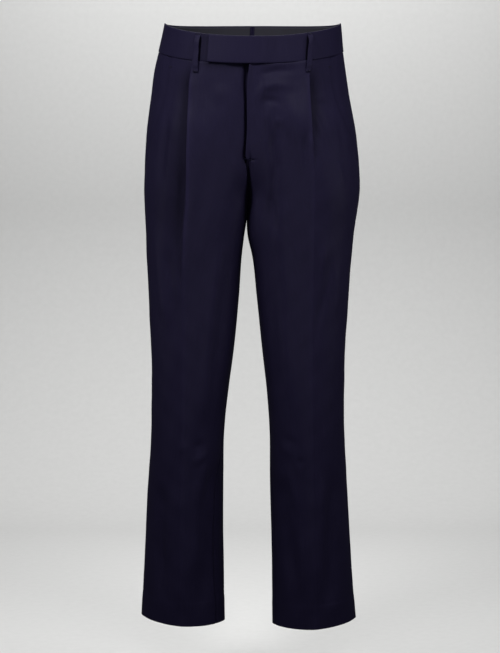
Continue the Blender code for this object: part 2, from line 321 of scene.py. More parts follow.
class Section:
    """The level section of one half of the garment, from the centre front or inseam round to the back."""

    def __init__(self, height):
        self.height = height
        outer, self.front, self.back, self.lean, self.crease, self.back_crease = (
            table(FORM, height, column) for column in range(1, 7)
        )
        # how far the section has parted into legs: 0 is a half ellipse, and 1 is a closed leg
        forked = blend(height, FORK_TOP, FORK)
        if height > FORK:
            inner = INNER[0][1] - outer * (1 - forked) / (1 + forked)
        else:
            inner = table(INNER, height)
        self.radius = (outer - inner) / 2
        self.middle = (outer + inner) / 2
        valleys = [blend(height, top, CURVE_END) for top in (FRONT_CURVE_TOP, BACK_CURVE_TOP)]
        edges = [HALF_SLIT + FORK_SLIT * forked * v for v in valleys]
        start, end = (-math.asin(min(1.0, (self.middle - e) / self.radius)) for e in edges)
        self.angle = np.linspace(start, math.pi - end, SECTION_POINTS)
        cosine, sine = np.cos(self.angle), np.sin(self.angle)
        depth = np.where(cosine > 0, self.front, self.back)
        power = np.where(sine > 0, table(SQUARE, height, 1), table(SQUARE, height, 2))
        level = np.abs(cosine) ** power
        valley = np.where(sine > 0, 1.0, np.where(cosine > 0, *valleys))
        self.x = self.middle + self.radius * sine
        self.y = -depth * np.sign(cosine) * (1 - valley * (1 - level))
        deep, wide = (table(GROOVE, height, column) for column in (1, 2))
        self.y += np.where((cosine > 0) & (sine < 0), deep * bell(self.x, wide), 0)
        across, back = np.gradient(self.x), np.gradient(self.y)
        steps = np.hypot(across, back)
        self.normal_x, self.normal_y = back / steps, -across / steps
        self.along = np.concatenate([[0], np.cumsum(np.hypot(np.diff(self.x), np.diff(self.y)))])
        self.length = float(self.along[-1])

    def where(self, angle):
        """The distance along the section at an angle from the middle of the front."""
        return float(np.interp(angle, self.angle, self.along))

    def across(self, x):
        """The distance along the front of the section at a distance from the centre plane."""
        return self.where(math.asin((x - self.middle) / self.radius))

    def pleat_place(self, side):
        """The distance along the section to the pleat's edge, and to the front crease below it."""
        return self.across(table(PLEAT_LINE, self.height, 1 if side < 0 else 2))

    def ridge(self, side, u):
        """How far the pressed creases stand out."""
        front = np.maximum(1 - abs(u - self.pleat_place(side)) / CREASE_WIDTH, 0) ** 1.5
        back = np.maximum(1 - abs(u - self.where(math.pi)) / CREASE_WIDTH, 0) ** 1.5
        return self.crease * front + self.back_crease * back

    def points(self, side, u, out=0.0, drape=None):
        """Points at distances along the section and out from it, as rows of x, y and z. They run on past
        both ends, on the other half above the crotch and round the leg below it."""
        u = np.asarray(u, float)
        sides = np.full(u.shape, float(side))
        if self.height < FORK:
            u = u % self.length
        else:
            past = (u < 0) | (u > self.length)
            sides[past] *= -1
            u = np.where(u < 0, -u, np.where(u > self.length, 2 * self.length - u, u))
        angle, x, y, normal_x, normal_y = (
            np.interp(u, self.along, row)
            for row in (self.angle, self.x, self.y, self.normal_x, self.normal_y)
        )
        forward = np.cos(angle)
        dip = FRONT_DIP + (FOOT_DIP - FRONT_DIP) * blend(self.height, 0, -BAND_HEIGHT)
        tilt = -dip * np.maximum(forward, 0) ** 1.2 + BACK_RISE * np.maximum(-forward, 0) ** 2
        z = self.height + tilt * (1 - blend(self.height, -BAND_HEIGHT, DIP_END))
        z = z + HEM_SLANT * np.sin(angle) * blend(self.height, *HEM_SLANTS)
        out = out + self.ridge(side, u)
        if drape is not None:
            out = out + drape(sides, x, z, forward)
        sway = table(SWAY, self.height) * smooth(-np.sin(angle))
        return np.stack(
            [sides * (x + normal_x * out) + self.lean + sway, y + normal_y * out, z], axis=-1
        )


def side_seam(section):
    return section.where(math.radians(table(SIDE_SEAM, section.height)))


def inseam(side, section):
    """The distance along the section where a front panel begins and, a turn on, the back panel ends."""
    return table(INSEAM, section.height, 1 if side < 0 else 2) if section.height < FORK else 0.0


# Creases. Pressed and hung cloth breaks into soft ridges and troughs: short
# drags under the waistband, folds that fall from the open pleats, and breaks
# at the knee and shin. Each is listed, and the two sides differ. A row
# is half width, height (a trough is below 0) and the places down its length,
# as (distance from the centre plane, height).
LEFT_FRONT_FOLDS = (
    # drags from the top of the fly, under the band
    (0.0060, -0.0034, (0.008, -0.112), (0.020, -0.100), (0.042, -0.095), (0.068, -0.093), (0.094, -0.089)),
    (0.0085, 0.0040, (0.008, -0.164), (0.014, -0.142), (0.024, -0.123), (0.043, -0.118),
     (0.064, -0.120), (0.090, -0.119)),
    (0.0062, -0.0036, (0.018, -0.156), (0.030, -0.146), (0.043, -0.146), (0.058, -0.158)),
    (0.0070, 0.0026, (0.030, -0.152), (0.027, -0.180), (0.028, -0.206)),
    (0.0070, 0.0016, (0.044, -0.170), (0.050, -0.194)),
    (0.0074, -0.0048, (0.041, -0.176), (0.038, -0.221), (0.042, -0.255), (0.038, -0.315), (0.046, -0.385)),
    (0.0380, 0.0070, (0.040, -0.178), (0.078, -0.172), (0.120, -0.176)),
    (0.0019, -0.0012, (-0.004, -0.2465), (0.006, -0.2465), (0.016, -0.2455)),
    # where the left pleat lets go
    (0.0045, -0.0026, (0.093, -0.192), (0.091, -0.221), (0.091, -0.275)),
    (0.0042, 0.0022, (0.098, -0.196), (0.103, -0.222), (0.112, -0.242)),
    (0.0062, 0.0030, (0.106, -0.145), (0.115, -0.182), (0.128, -0.216), (0.140, -0.243)),
    (0.0060, 0.0018, (0.143, -0.240), (0.152, -0.267), (0.158, -0.296)),
    (0.0080, -0.0024, (0.112, -0.140), (0.128, -0.152), (0.143, -0.174)),
    (0.0060, -0.0014, (0.149, -0.160), (0.156, -0.210), (0.160, -0.256)),
    # the left thigh
    (0.0056, 0.0018, (0.130, -0.374), (0.128, -0.420), (0.123, -0.458)),
    (0.0066, -0.0020, (0.142, -0.396), (0.138, -0.442), (0.128, -0.485), (0.118, -0.528), (0.115, -0.575)),
    (0.0065, 0.0014, (0.153, -0.415), (0.152, -0.485), (0.145, -0.540)),
    (0.0110, 0.0018, (0.056, -0.300), (0.062, -0.390), (0.065, -0.536), (0.069, -0.695)),
    (0.0110, -0.0034, (0.032, -0.290), (0.036, -0.390), (0.040, -0.519), (0.048, -0.665)),
    # the left knee and shin
    (0.0075, -0.0018, (0.060, -0.718), (0.075, -0.731), (0.090, -0.745)),
    (0.0060, 0.0008, (0.056, -0.736), (0.073, -0.753), (0.086, -0.760)),
    (0.0065, -0.0015, (0.083, -0.761), (0.092, -0.765), (0.101, -0.770)),
    (0.0065, 0.0022, (0.066, -0.766), (0.075, -0.796), (0.083, -0.830), (0.090, -0.868)),
    (0.0110, -0.0042, (0.057, -0.785), (0.063, -0.838), (0.073, -0.900), (0.078, -0.990)),
    (0.0170, 0.0030, (0.107, -0.800), (0.109, -0.900), (0.110, -1.040)),
    (0.0080, 0.0024, (0.095, -0.870), (0.097, -1.010)),
    (0.0085, 0.0024, (0.129, -0.780), (0.125, -0.900), (0.121, -1.006)),
    (0.0115, -0.0054, (0.150, -0.780), (0.147, -0.850), (0.145, -0.933), (0.139, -1.022)),
)
RIGHT_FRONT_FOLDS = (
    # the right hip and thigh
    (0.0065, -0.0028, (0.142, -0.158), (0.148, -0.204), (0.153, -0.247), (0.157, -0.300)),
    (0.0085, -0.0032, (0.119, -0.245), (0.122, -0.300), (0.124, -0.365)),
    (0.0150, 0.0014, (0.050, -0.112), (0.050, -0.162)),
    (0.0065, 0.0018, (0.163, -0.365), (0.156, -0.434), (0.149, -0.485), (0.140, -0.550)),
    (0.0075, -0.0021, (0.145, -0.385), (0.133, -0.451), (0.126, -0.510), (0.119, -0.566)),
    (0.0100, 0.0024, (0.044, -0.383), (0.060, -0.485), (0.071, -0.587), (0.071, -0.656), (0.074, -0.712)),
    (0.0090, -0.0020, (0.026, -0.383), (0.042, -0.485), (0.054, -0.587), (0.058, -0.680)),
    # the right knee and shin
    (0.0070, 0.0028, (0.101, -0.764), (0.087, -0.763), (0.075, -0.754), (0.064, -0.737)),
    (0.0060, -0.0015, (0.097, -0.743), (0.084, -0.737), (0.072, -0.725)),
    (0.0075, 0.0010, (0.122, -0.738), (0.109, -0.741), (0.101, -0.749)),
    (0.0100, 0.0030, (0.069, -0.744), (0.077, -0.796), (0.087, -0.832), (0.092, -0.900), (0.099, -0.990)),
    (0.0140, -0.0042, (0.056, -0.760), (0.064, -0.847), (0.068, -0.916), (0.070, -1.020)),
    (0.0170, 0.0030, (0.114, -0.800), (0.117, -0.900), (0.119, -1.040)),
    (0.0105, -0.0048, (0.149, -0.800), (0.152, -0.916), (0.150, -1.010)),
)
LEFT_BACK_FOLDS = (
    # drags across the seat, breaks behind the knee, long folds down the outer side
    (0.0090, -0.0044, (0.020, -0.300), (0.060, -0.335), (0.110, -0.350)),
    (0.0080, 0.0037, (0.030, -0.345), (0.075, -0.372), (0.120, -0.380)),
    (0.0120, -0.0027, (0.030, -0.080), (0.034, -0.160), (0.046, -0.230)),
    (0.0070, 0.0061, (0.056, -0.660), (0.090, -0.676), (0.140, -0.660)),
    (0.0080, -0.0068, (0.060, -0.690), (0.095, -0.700), (0.150, -0.690)),
    (0.0070, 0.0044, (0.070, -0.725), (0.110, -0.730), (0.140, -0.744)),
    (0.0100, -0.0037, (0.150, -0.420), (0.142, -0.520), (0.136, -0.620)),
    (0.0080, -0.0041, (0.150, -0.800), (0.146, -0.900), (0.150, -0.980)),
)
RIGHT_BACK_FOLDS = (
    (0.0090, -0.0051, (0.018, -0.292), (0.050, -0.330), (0.104, -0.356)),
    (0.0080, 0.0031, (0.034, -0.352), (0.080, -0.384)),
    (0.0120, -0.0024, (0.050, -0.085), (0.052, -0.180), (0.060, -0.250)),
    (0.0070, 0.0058, (0.060, -0.676), (0.100, -0.684), (0.146, -0.664)),
    (0.0080, -0.0065, (0.058, -0.706), (0.098, -0.716), (0.150, -0.702)),
    (0.0070, 0.0041, (0.066, -0.742), (0.104, -0.748)),
    (0.0100, -0.0037, (0.156, -0.430), (0.146, -0.540), (0.140, -0.640)),
    (0.0080, -0.0037, (0.152, -0.810), (0.150, -0.910), (0.156, -0.990)),
)
FOLDS = {
    (1, "front"): LEFT_FRONT_FOLDS,
    (-1, "front"): RIGHT_FRONT_FOLDS,
    (1, "back"): LEFT_BACK_FOLDS,
    (-1, "back"): RIGHT_BACK_FOLDS,
}
FOLD_END = 0.045  # over how much of its length a fold dies away
WAVE = 0.0006  # how uneven the cloth is between the folds, in broad waves
RIPPLE = 0.0003  # and in fine ones
SIDE_CALM = 0.16  # folds and waves fade where the cloth turns to the side


def fold_relief(x, z, half_width, height, places):
    """How far one fold lifts the cloth: a soft crest along its line, which dies away at both ends."""
    places = np.array(places)
    legs = np.hypot(*np.diff(places, axis=0).T)
    total = legs.sum()
    nearest, along, walked = np.full(x.shape, np.inf), np.zeros(x.shape), 0.0
    for start, end, leg in zip(places[:-1], places[1:], legs):
        way = end - start
        t = np.clip(((x - start[0]) * way[0] + (z - start[1]) * way[1]) / leg**2, 0, 1)
        off = np.hypot(x - start[0] - t * way[0], z - start[1] - t * way[1])
        along = np.where(off < nearest, walked + t * leg, along)
        nearest = np.minimum(nearest, off)
        walked += leg
    fade = min(total * 0.45, FOLD_END)
    taper = smooth(along / fade) * smooth((total - along) / (1.3 * fade))
    uneven = 1 + 0.15 * np.sin(along * 47 + places[0][0] * 900)
    return height * taper * uneven * bell(nearest, half_width)


def hang(sides, x, z, forward):
    """The relief of all the folds, with the slight unevenness of cloth between them."""
    relief = WAVE * np.sin(x * 61 + z * 17 + sides) * np.sin(z * 29 - sides * 2 + x * 23)
    relief = relief + RIPPLE * np.sin(x * 171 - z * 37 + 3 * sides) * np.sin(z * 83 + x * 41)
    for (side, face), folds in FOLDS.items():
        here = (sides == side) & ((forward > 0) == (face == "front"))
        for half_width, height, *places in folds if here.any() else ():
            heights = [place[1] for place in places]
            reach = 4 * half_width
            if z.min() <= max(heights) + reach and z.max() >= min(heights) - reach:
                relief = relief + here * fold_relief(x, z, half_width, height, places)
    return relief * smooth(np.abs(forward) / SIDE_CALM)


# How the panels are cut and sewn. A seamed edge turns in a little; the pleat
# is a fold of three layers that opens downwards into the crease; the hem is
# turned up inside. Pairs of heights are where a change starts and ends.
CLOTH = 0.0009
HEM_CLOTH = 0.0015
HEM_TURN_UP = 0.040
TURN_UP_MARK = 0.00018  # how far the turn-up's edge shows through
SEAM_DEPTH = 0.0009  # how deep a seam lies between two panels
SEAM_WIDTH = 0.0013
SEAM_FADE = (0.040, -0.030)  # where the centre seams fade, from the top of the crotch's curve
INSEAM_FADE = (FORK - 0.060, FORK - 0.200)
INSEAM_DEPTH = {-1: 2.0, 1: 0.8}  # times a seam's depth
KNEE = (-0.600, -0.720)
# painted shade along the inseam from the knee down, and its width
INSEAM_PAINTED_SHADE = {-1: 1.2, 1: 0.6}
INSEAM_PAINTED_SHADE_WIDTH = 0.0024
PLEAT_DEPTH = 0.015  # how wide its middle layer is under the band
PLEAT_BRIDGE = 0.0010  # and where it is open
PLEAT_LAYER = 0.0019  # how far apart the layers lie
PLEAT_SHUT = {-1: -0.170, 1: -0.115}  # how far down the pleat stays shut
PLEAT_OPEN = {-1: -0.330, 1: -0.215}  # where it is wholly open
PLEAT_START = (-0.056, -0.100)
PLEAT_FADE = {-1: (-0.330, -0.480), 1: (-0.150, -0.270)}
PLEAT_FALL = {-1: 0.0075, 1: 0.0055}  # how far the cloth falls back beyond the pleat's edge
PLEAT_RISE = 0.0030  # how far it rises before it
PLEAT_BEFORE = 0.032  # how wide the rise is
PLEAT_BEYOND = 0.038  # how wide the hollow is
PLEAT_PAINTED_SHADE = 0.026  # how wide the painted shade in the hollow is
PLEAT_PAINTED_SHADE_FROM = 0.0008
HIP = ((-0.150, -0.215), (-0.300, -0.400))
HIP_PAINTED_SHADE = 0.022  # what the right hip adds to the painted shade's width
CREASE_TURN = {-1: math.radians(13), 1: math.radians(7)}  # how far the open crease turns
CREASE_LAYER = {-1: 0.0004, 1: 0.0002}  # and what is left of its step
CREASE_GLOSS_AND_PAINTED_SHINE = 0.0040  # how wide the painted highlight along the pressed edge is
CREASE_GLOSS_AND_PAINTED_SHINE_IN = 0.001  # how far inside the edge it lies
# the painted highlight along the back crease, and the heights where it comes in
BACK_GLOSS_AND_PAINTED_SHINE = 0.0030
BACK_CREASE_TOP = (-0.200, -0.330)
MOUTH_FOOT = -0.245
# height, distance of the pocket's mouth in front of the side seam
MOUTH = ((-0.050, 0.053), (-0.110, 0.053), (-0.160, 0.046), (-0.205, 0.030), (MOUTH_FOOT, 0.008))
FLY_FOOT = -0.246
# height, how far the left front laps over the centre
FLY_EDGE = ((-0.050, 0.0025), (-0.075, 0.0040), (-0.135, 0.0058), (-0.190, 0.0072), (FLY_FOOT, 0.0080))
FLY_LIFT = 0.0016  # how far the left front lies out, and the right one in
FLY_FLAT = 0.014  # how far from the centre they do so wholly
FLY_SLOPE = 0.031
FLY_FADE = (FLY_FOOT + 0.004, FLY_FOOT - 0.050)
FLY_RIM = 0.0016  # how far the lapping edge stands up
FLY_RIM_WIDTH = 0.0050
FLY_HOLLOW = 0.0078  # how deep the right front sinks beside it
FLY_FLOOR = 0.0010  # how wide the hollow's floor is
FLY_BANK = 0.0026  # and its bank
FLY_TOP = (-0.060, -0.140)
FLY_TOP_FLOOR = 0.0030  # what the hollow's top adds to both
FLY_TOP_BANK = 0.0016
TAB = 0.075  # how far the left half of the band runs past the centre front
TAB_LIFT = 0.0045
TAB_FLAT = 0.014  # how far beyond the centre the tab's foot is lifted wholly
TAB_SLOPE = 0.034
# a painted shadow under the tab: its strength on each side, how far down it reaches and where it ends
TAB_PAINTED_SHADOW = {-1: 1.1, 1: 0.1}
TAB_PAINTED_SHADOW_DROP = 0.013  # how far below the tab the painted shadow reaches
TAB_PAINTED_SHADOW_END = 0.070
TAB_PAINTED_SHADOW_SLOPE = 0.024
BAND_UNEVEN = 0.0003
TUCK = 0.0030  # how far the panels run up behind the band
TUCK_BACK = 0.0018  # and how far behind the band's middle
# how far from an edge its first points are, and the steps from row to row
EDGE_STEPS = np.array([0, 0.0003, 0.0007, 0.0012, 0.0019, 0.0029, 0.0042])
ROW_STEP = 0.0042
FINE_STEP = 0.0011
TACKED = (-0.2405, -0.2525)  # the rows lie closer at the foot of the fly
CROTCH = -0.285  # and from here down to the fork


def row_heights(side):
    even = np.arange(-BAND_HEIGHT, HEM[side], -ROW_STEP)
    seam = -BAND_HEIGHT - EDGE_STEPS[1:5]
    tuck = -BAND_HEIGHT + TUCK * np.array([0.4, 1.0])
    tacked = np.arange(*TACKED, -FINE_STEP)
    crotch = np.arange(CROTCH, FORK - FINE_STEP / 2, -FINE_STEP)
    turn_up = HEM[side] + HEM_TURN_UP + np.array([0.0010, 0, -0.0010])
    hem = HEM[side] + np.array([0, 0.0004, 0.0010, 0.0020])
    levels = [*even, *seam, *tuck, *tacked, *crotch, *turn_up, *hem]
    return sorted({round(float(z), 5) for z in levels}, reverse=True)


def edge_in(first):
    """Distances that lie close together at a panel's first edge."""
    return first + EDGE_STEPS[:-1]


def edge_out(last):
    """Distances that lie close together at a panel's last edge."""
    return (last - EDGE_STEPS[:-1])[::-1]


def edged(first, last, count):
    """Distances from one edge of a panel to the other, close together at both edges."""
    inner = np.linspace(first + EDGE_STEPS[-1], last - EDGE_STEPS[-1], count)
    return np.concatenate([edge_in(first), inner, edge_out(last)])


def seam_dip(distance):
    """How far a seamed edge turns in, at a distance from the seam."""
    return -SEAM_DEPTH * bell(distance, SEAM_WIDTH)


def pleat(side, section):
    """The fold's distances along and out, from the layer on top to the one below, with its edge at 0."""
    opened = blend(section.height, PLEAT_SHUT[side], PLEAT_OPEN[side])
    turn = math.pi + (CREASE_TURN[side] - math.pi) * opened
    layer = PLEAT_LAYER + (CREASE_LAYER[side] - PLEAT_LAYER) * opened
    folded = (section.height - PLEAT_SHUT[side]) / (-BAND_HEIGHT - PLEAT_SHUT[side])
    bridge = PLEAT_BRIDGE + (PLEAT_DEPTH - PLEAT_BRIDGE) * min(1.0, max(0.0, folded))
    radius = (layer - bridge / 2 * math.sin(turn)) / (1 - math.cos(turn))
    turned = turn * np.linspace(0, 1, 8)
    bend = np.array([radius * np.sin(turned), layer - radius * (1 - np.cos(turned))])
    middle = np.array([[bend[0, -1] + bridge / 2 * math.cos(turn)], [0.0]])
    under = (2 * middle - bend)[:, ::-1]
    along, out = np.concatenate([bend, middle, under], axis=1)
    return along - bend[0].max(), out


def fly_lift(side, section, u):
    """The left front lies out, and the right front in, with a hollow along the fly's edge."""
    lift = side * FLY_LIFT * (1 - smooth((np.abs(u) - FLY_FLAT) / FLY_SLOPE))
    edge = table(FLY_EDGE, section.height)
    if side < 0:
        # the hollow is a little wider and deeper at its top
        top = 1 - blend(section.height, *FLY_TOP)
        beyond = np.maximum(u - edge - FLY_FLOOR - FLY_TOP_FLOOR * top, 0)
        bank = bell(beyond, FLY_BANK + FLY_TOP_BANK * top)
        lift = lift - FLY_HOLLOW * (1 + 0.15 * top) * bank
    else:
        lift = lift + FLY_RIM * bell(u + edge, FLY_RIM_WIDTH)
    return lift * (1 - blend(section.height, *FLY_FADE))


def band_lift(side, u):
    """The tab stands off; the interlined cloth is slightly uneven."""
    lift = TAB_LIFT * (1 - smooth((u - TAB_FLAT) / TAB_SLOPE)) if side > 0 else 0.0 * u
    return lift + BAND_UNEVEN * np.sin(u * 90 + side) * np.sin(u * 31 + 1)


def mouth(section):
    """How far in front of the side seam the pocket's mouth is, or None below it."""
    return table(MOUTH, section.height) if section.height > MOUTH_FOOT else None


def centre_seam(side, section, top):
    """How much the seam at a panel's inner edge sinks in. It lies flush where the thighs touch."""
    if section.height > FORK:
        return 1 - blend(section.height, top + SEAM_FADE[0], top + SEAM_FADE[1])
    return INSEAM_DEPTH[side] * blend(section.height, *INSEAM_FADE)


def turn_up_edge(side, section, u):
    """The edge of the turn-up, pressed through the cloth in places."""
    above = section.height - HEM[side] - HEM_TURN_UP
    step = 1 - smooth(above / 0.0014 + 0.5)
    return TURN_UP_MARK * step * np.maximum(np.sin(u * 47 + side), 0)


def front_places(section, first, last, fold):
    """Distances across a front panel, close together at its edges, as far as the pleat and on beyond it."""
    # they are shared out about the turn of the leg's inner side, or a third of the way above the fork
    turned = blend(section.height, -0.200, -0.290)
    bend = section.where(section.angle[0] * 0.75) * turned + (2 * first + fold[0]) / 3 * (1 - turned)
    inner = np.linspace(first + EDGE_STEPS[-1], bend, 20)[:-1]
    middle = np.linspace(bend, fold[0], 46)[:-1]
    outer = np.linspace(fold[-1], last - EDGE_STEPS[-1], 44)[1:]
    return np.concatenate([edge_in(first), inner, middle]), np.concatenate([outer, edge_out(last)])


def inseam_painted_shade(side, section, distance):
    """How much painted shade darkens a panel along the inseam, from the knee down."""
    return INSEAM_PAINTED_SHADE[side] * blend(section.height, *KNEE) * bell(distance, INSEAM_PAINTED_SHADE_WIDTH)


def front_gloss_and_painted_light(side, section, u, edge, folded):
    """A front panel's painted light: above 0 a painted highlight along the pressed edge, which is also
    glossier; below 0 painted shade in the hollow beyond the pleat and a painted shadow under the tab.
    """
    height = section.height
    # a line of painted highlight, with lower roughness, along the edge of the pleat and the crease
    pressed = 0.3 + 0.7 * folded - 0.2 * blend(height, -0.600, -0.760)
    gloss_and_painted_shine = pressed * bell(u - edge + CREASE_GLOSS_AND_PAINTED_SHINE_IN, CREASE_GLOSS_AND_PAINTED_SHINE)
    # painted shade in the hollow beyond the pleat, widest down the right hip
    hip = blend(height, *HIP[0]) - blend(height, *HIP[1])
    wide = PLEAT_PAINTED_SHADE + HIP_PAINTED_SHADE * hip * (side < 0)
    hollow_painted_shade = 1.2 * folded * (u > edge + PLEAT_PAINTED_SHADE_FROM) * bell(u - edge, wide)
    # a painted shadow under the tab
    under_tab = TAB_PAINTED_SHADOW[side] * bell(-BAND_HEIGHT - height, TAB_PAINTED_SHADOW_DROP)
    return gloss_and_painted_shine - hollow_painted_shade - under_tab * (1 - smooth((u - TAB_PAINTED_SHADOW_END) / TAB_PAINTED_SHADOW_SLOPE))


def front_row(side, section):
    """Distances across a front panel at one level, how far out it lies there, and its painted light: a
    painted highlight along the pressed edge, painted shade in hollows.
    """
    height = section.height
    lapped = side > 0 and height > FLY_FOOT
    first = -table(FLY_EDGE, height) if lapped else inseam(side, section)
    gap = mouth(section)
    last = side_seam(section) - (gap or 0.0)
    fold, lift = pleat(side, section)
    fold = fold + section.pleat_place(side)
    before, beyond = front_places(section, first, last, fold)
    u = np.concatenate([before, fold, beyond])
    # the cloth rises towards the pleat, and falls back under it beyond
    folded = blend(height, *PLEAT_START) - blend(height, *PLEAT_FADE[side])
    fall, rise = PLEAT_FALL[side] * folded, PLEAT_RISE * folded
    lift = lift + rise - (fall + rise) * smooth(np.linspace(-0.9, 1, len(lift)))
    up = lift[0] * smooth(1 - (fold[0] - before) / PLEAT_BEFORE)
    back = lift[-1] * smooth(1 - (beyond - fold[-1]) / PLEAT_BEYOND)
    out = np.concatenate([up, lift, back]) + fly_lift(side, section, u)
    if not lapped:
        out = out + seam_dip(u - first) * centre_seam(side, section, FRONT_CURVE_TOP)
    if gap is None:
        out = out + seam_dip(last - u)
    # above the band's foot the panel runs up close behind the band
    tucked = 1 - blend(height, -BAND_HEIGHT + TUCK, -BAND_HEIGHT)
    out = out + tucked * (band_lift(side, u) - TUCK_BACK - out)
    # the painted highlight, painted shade and painted shadow, with painted shade at the inseam
    gloss_and_painted_light = front_gloss_and_painted_light(side, section, u, fold[0], folded) - inseam_painted_shade(side, section, u - first)
    return u, out, gloss_and_painted_light


def back_row(side, section):
    """The same for a back panel."""
    first = side_seam(section)
    last = section.length + inseam(side, section)
    u = edged(first, last, 84)
    inner = seam_dip(last - u) * centre_seam(side, section, BACK_CURVE_TOP)
    # a painted highlight, with lower roughness, along the back crease; painted shade at the inseam
    gloss_and_painted_light = bell(u - section.where(math.pi), BACK_GLOSS_AND_PAINTED_SHINE) * blend(section.height, *BACK_CREASE_TOP)
    return u, seam_dip(u - first) + inner, gloss_and_painted_light - inseam_painted_shade(side, section, last - u)


def on_pattern(u, height):
    """A row of a piece's own UV map, in metres."""
    return np.stack([u, np.full(u.shape, height)], axis=-1)


def add_object(name, data):
    thing = bpy.data.objects.new(name, data)
    bpy.context.scene.collection.objects.link(thing)
    return thing


def finish_mesh(mesh, uv, gloss_and_painted_light=None):
    """Lays the cloth's UV map and its painted light on a mesh, whose points come in the same order: a painted
    highlight along pressed edges, painted shade where shadow falls.
    """
    loops = np.empty(len(mesh.loops), np.int32)
    mesh.loops.foreach_get("vertex_index", loops)
    layer = mesh.uv_layers.new(name="cloth")
    layer.data.foreach_set("uv", np.reshape(uv, (-1, 2))[loops].ravel())
    # painted highlight and painted shade, one value a point
    polish_and_painted_light = mesh.attributes.new("gloss_and_painted_light", "FLOAT", "POINT")
    values = np.zeros(len(mesh.vertices)) if gloss_and_painted_light is None else np.ravel(gloss_and_painted_light)
    polish_and_painted_light.data.foreach_set("value", values.astype(np.float32))
    mesh.shade_smooth()


def cloth_piece(name, points, uv, side, gloss_and_painted_light=None):
    """A piece of cloth from rows of points that run down the piece and away from the centre front."""
    points = np.array(points)
    rows, columns = points.shape[:2]
    index = np.arange(rows * columns).reshape(rows, columns)
    quads = np.stack([index[:-1, :-1], index[1:, :-1], index[1:, 1:], index[:-1, 1:]], axis=-1)
    quads = quads.reshape(-1, 4)
    if side < 0:
        quads = quads[:, ::-1]
    mesh = bpy.data.meshes.new(name)
    mesh.from_pydata(points.reshape(-1, 3).tolist(), [], quads.tolist())
    finish_mesh(mesh, uv, gloss_and_painted_light)
    return add_object(name, mesh)


def wall(piece, thickness, shares=None):
    """Gives the cloth its thickness; shares scales it row by row."""
    solid = piece.modifiers.new("wall", "SOLIDIFY")
    solid.thickness = thickness
    solid.offset = 0
    if shares is not None:
        group = piece.vertex_groups.new(name="wall")
        columns = len(piece.data.vertices) // len(shares)
        for r, share in enumerate(shares):
            group.add(list(range(r * columns, (r + 1) * columns)), float(share), "REPLACE")
        solid.vertex_group = "wall"


def dress(piece, node, material):
    """What every piece of cloth is given: its material, its body, and the hiding of the solid it stands for.
    """
    piece.data.materials.append(material)
    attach(piece, "root")
    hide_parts(node)


SIDE_NAMES = {-1: "right", 1: "left"}
sections = {side: [Section(z) for z in row_heights(side)] for side in SIDE_NAMES}
for side, side_name in SIDE_NAMES.items():
    # the hem is thicker, with its turn-up
    turned = [smooth((HEM[side] + HEM_TURN_UP - s.height) / 0.008 + 0.5) for s in sections[side]]
    shares = [(CLOTH + (HEM_CLOTH - CLOTH) * share) / HEM_CLOTH for share in turned]
    for panel, row in ("front", front_row), ("back", back_row):
        points, uv, gloss_and_painted_light = [], [], []
        for section in sections[side]:
            u, out, polish_and_painted_light = row(side, section)
            out = out + seam_dip(-BAND_HEIGHT - section.height) + turn_up_edge(side, section, u)
            points.append(section.points(side, u, out, hang))
            uv.append(on_pattern(u, section.height))
            gloss_and_painted_light.append(polish_and_painted_light)
        piece = cloth_piece(f"{panel}_panel_{side_name}", points, uv, side, gloss_and_painted_light)
        wall(piece, HEM_CLOTH, shares)
        dress(piece, f"{panel}_{side_name}", worsted)

# ---------------------------------------------------------------------------
# Fly. The left front's edge laps over the right front and is held by a line
# of fine stitches and a bar tack at the foot. A plain strip of worsted behind
# the opening is sewn to the right front.
# ---------------------------------------------------------------------------
SHIELD_DROP = 0.0125
SHIELD = (-0.024, 0.034)
points, uv = [], []
for section in (s for s in sections[-1] if s.height > FLY_FOOT):
    u = np.linspace(*SHIELD, 20)
    points.append(section.points(1, u, -SHIELD_DROP))
    uv.append(on_pattern(u, section.height))
piece = cloth_piece("fly_strip", points, uv, 1)
wall(piece, CLOTH)
dress(piece, "fly_shield", worsted)


